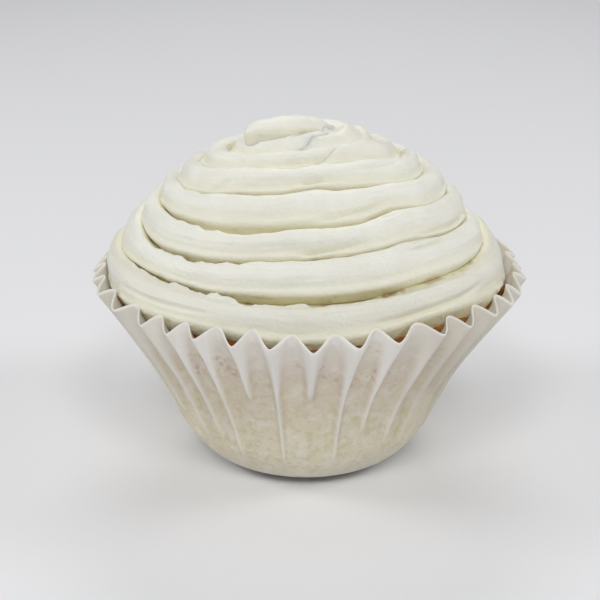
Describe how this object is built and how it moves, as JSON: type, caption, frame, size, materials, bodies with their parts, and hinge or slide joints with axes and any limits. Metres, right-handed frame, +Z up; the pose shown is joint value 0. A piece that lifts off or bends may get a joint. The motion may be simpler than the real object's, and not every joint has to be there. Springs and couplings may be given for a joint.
{
  "type": "cupcake",
  "caption": "Iced cupcake: a domed sponge in a pleated paper case, covered by a rope of pale icing piped in a rising spiral.",
  "frame": {"origin": "centre of the flat base of the paper case, where it stands on the table", "axes": "+Z up through the middle of the cupcake, the side seen from the front toward -Y"},
  "size_m": [0.0797, 0.0798, 0.0631],
  "materials": {
    "case_paper": "thin greaseproof paper, matt, slightly translucent where butter has soaked in",
    "sponge": "baked sponge crust, matt and porous",
    "icing": "soft buttercream, satin, off-white"
  },
  "bodies": {
    "root": {"paper_case": "case_paper", "sponge": "sponge", "icing": "icing"}
  },
  "joints": []
}
